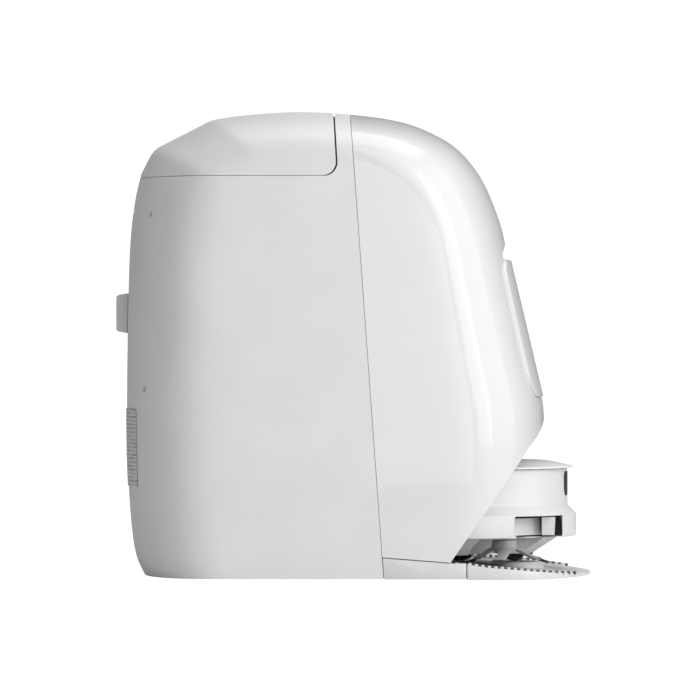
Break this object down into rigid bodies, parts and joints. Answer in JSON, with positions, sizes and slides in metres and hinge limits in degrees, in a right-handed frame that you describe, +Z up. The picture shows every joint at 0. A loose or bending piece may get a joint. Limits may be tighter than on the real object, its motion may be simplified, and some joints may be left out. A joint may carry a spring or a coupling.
{
  "type": "robot vacuum docking station",
  "caption": "Self-emptying, mop-washing docking station with lift-out water tanks and its round robot vacuum cleaner parked inside.",
  "frame": {"origin": "on the floor, below the middle of the object's bounding box", "axes": "+Z up; -Y towards the front, where the robot drives out; +X towards the right of someone who faces the station's front, so the robot's side brush, at the robot's own right front, is at -X"},
  "size_m": [0.436, 0.473, 0.4591],
  "materials": {
    "matte_shell": "fine matte texture",
    "gloss_cover": "high gloss",
    "inner_grey": "satin",
    "dark_plastic": "satin",
    "rubber_feet": "matt",
    "smoked_tank": "clear, smoked",
    "black_gloss": "high gloss",
    "mop_cloth": "microfibre",
    "brush_grey": "satin",
    "steel": "satin",
    "bag_paper": "non-woven cloth",
    "board_green": "solder mask",
    "label_grey": "printed film"
  },
  "bodies": {
    "station": {"rear_shell": "matte_shell", "front_cover": "gloss_cover", "lid_hinge_pin": "steel", "base_frame": "matte_shell", "wash_tray": "inner_grey", "ramp": "matte_shell", "foot_rear_left": "rubber_feet", "foot_rear_right": "rubber_feet", "foot_front_left": "rubber_feet", "foot_front_right": "rubber_feet", "bay_housing": "inner_grey", "inner_frame": "inner_grey", "dust_case": "inner_grey", "suction_blower": "dark_plastic", "dust_duct": "dark_plastic", "clean_water_pump": "dark_plastic", "drain_pump": "dark_plastic", "drying_fan": "dark_plastic", "main_board": "board_green", "power_supply": "steel", "power_inlet": "dark_plastic", "rear_spacer": "matte_shell", "rating_label": "label_grey", "shell_screw_lower_left": "steel", "shell_screw_upper_left": "steel", "shell_screw_lower_right": "steel", "shell_screw_upper_right": "steel"},
    "lid": {"top_lid": "matte_shell", "lid_hinge_bracket": "dark_plastic"},
    "panel": {"front_panel": "gloss_cover"},
    "bag": {"dust_bag": "bag_paper", "bag_collar": "dark_plastic"},
    "clean_tank_set": {"clean_tank": "smoked_tank", "clean_tank_cover": "dark_plastic", "clean_fill_cap": "rubber_feet"},
    "clean_handle": {"clean_tank_handle": "matte_shell"},
    "dirty_tank_set": {"dirty_tank": "smoked_tank", "dirty_tank_cover": "dark_plastic"},
    "dirty_handle": {"dirty_tank_handle": "matte_shell"},
    "contact_left": {"charge_contact_left": "steel"},
    "contact_right": {"charge_contact_right": "steel"},
    "robot": {"robot_chassis": "dark_plastic", "robot_shell": "matte_shell", "robot_deck": "matte_shell", "lidar_turret": "dark_plastic", "robot_dustbin": "smoked_tank", "robot_battery": "dark_plastic", "robot_fan": "dark_plastic"},
    "bumper": {"robot_bumper": "matte_shell", "sensor_window": "black_gloss"},
    "wheel_left": {"drive_wheel_left": "rubber_feet"},
    "wheel_right": {"drive_wheel_right": "rubber_feet"},
    "roller": {"main_brush": "brush_grey"},
    "mop_pad_left": {"mop_left": "mop_cloth"},
    "mop_pad_right": {"mop_right": "mop_cloth"},
    "brush_arm": {"side_brush_arm": "matte_shell"},
    "brush": {"side_brush": "brush_grey"},
    "caster": {"caster_fork": "dark_plastic"},
    "caster_roller": {"caster_wheel": "rubber_feet"}
  },
  "joints": [
    {"name": "lid_hinge", "type": "hinge", "parent": "station", "child": "lid", "pos_m": [0, 0.2072, 0.37], "axis": [-1, 0, 0], "range_deg": [0, 85]},
    {"name": "clean_tank_lift", "type": "slide", "parent": "station", "child": "clean_tank_set", "axis": [0, 0, 1], "range_m": [0, 0.19]},
    {"name": "clean_handle_turn", "type": "hinge", "parent": "clean_tank_set", "child": "clean_handle", "pos_m": [-0.08, 0.1236, 0.3824], "axis": [-1, 0, 0], "range_deg": [0, 90]},
    {"name": "dirty_tank_lift", "type": "slide", "parent": "station", "child": "dirty_tank_set", "axis": [0, 0, 1], "range_m": [0, 0.19]},
    {"name": "dirty_handle_turn", "type": "hinge", "parent": "dirty_tank_set", "child": "dirty_handle", "pos_m": [0.08, 0.1236, 0.3824], "axis": [-1, 0, 0], "range_deg": [0, 90]},
    {"name": "front_panel_pull", "type": "slide", "parent": "station", "child": "panel", "axis": [0, -1, 0], "range_m": [0, 0.2]},
    {"name": "dust_bag_pull", "type": "slide", "parent": "station", "child": "bag", "axis": [0, -1, 0], "range_m": [0, 0.13]},
    {"name": "contact_left_press", "type": "slide", "parent": "station", "child": "contact_left", "axis": [0, 1, 0], "range_m": [0, 0.004], "stiffness_N_per_m": 300, "springref_m": -0.004},
    {"name": "contact_right_press", "type": "slide", "parent": "station", "child": "contact_right", "axis": [0, 1, 0], "range_m": [0, 0.004], "stiffness_N_per_m": 300, "springref_m": -0.004},
    {"name": "robot_drive_out", "type": "slide", "parent": "station", "child": "robot", "axis": [0, -1, 0], "range_m": [0, 0.42]},
    {"name": "bumper_press", "type": "slide", "parent": "robot", "child": "bumper", "axis": [0, 1, 0], "range_m": [0, 0.003], "stiffness_N_per_m": 900, "springref_m": -0.003},
    {"name": "wheel_left_spin", "type": "hinge", "parent": "robot", "child": "wheel_left", "pos_m": [-0.118, -0.0615, 0.046], "axis": [1, 0, 0], "continuous": true},
    {"name": "wheel_right_spin", "type": "hinge", "parent": "robot", "child": "wheel_right", "pos_m": [0.118, -0.0615, 0.046], "axis": [1, 0, 0], "continuous": true},
    {"name": "main_brush_spin", "type": "hinge", "parent": "robot", "child": "roller", "pos_m": [0, -0.1045, 0.0305], "axis": [1, 0, 0], "continuous": true},
    {"name": "mop_left_spin", "type": "hinge", "parent": "robot", "child": "mop_pad_left", "pos_m": [-0.071, 0.02612, 0.015], "axis": [0, 0, 1], "continuous": true},
    {"name": "mop_right_spin", "type": "hinge", "parent": "robot", "child": "mop_pad_right", "pos_m": [0.071, 0.02612, 0.015], "axis": [0, 0, 1], "continuous": true},
    {"name": "side_arm_swing", "type": "hinge", "parent": "robot", "child": "brush_arm", "pos_m": [-0.06206, -0.17243, 0.049], "axis": [0, 0, 1], "range_deg": [0, 25]},
    {"name": "side_brush_spin", "type": "hinge", "parent": "brush_arm", "child": "brush", "pos_m": [-0.09998, -0.14848, 0.03], "axis": [0, 0, 1], "continuous": true},
    {"name": "caster_swivel", "type": "hinge", "parent": "robot", "child": "caster", "pos_m": [0, -0.1645, 0.03], "axis": [0, 0, 1], "continuous": true},
    {"name": "caster_roll", "type": "hinge", "parent": "caster", "child": "caster_roller", "pos_m": [0, -0.1605, 0.024], "axis": [1, 0, 0], "continuous": true}
  ],
  "couplings": [
    {"joint": "clean_tank_lift", "follows": "lid_hinge", "m_per_rad": 0.125},
    {"joint": "dirty_tank_lift", "follows": "lid_hinge", "m_per_rad": 0.125},
    {"joint": "clean_handle_turn", "follows": "lid_hinge", "ratio": 1},
    {"joint": "dirty_handle_turn", "follows": "lid_hinge", "ratio": 1},
    {"joint": "dust_bag_pull", "follows": "front_panel_pull", "ratio": 0.6}
  ]
}
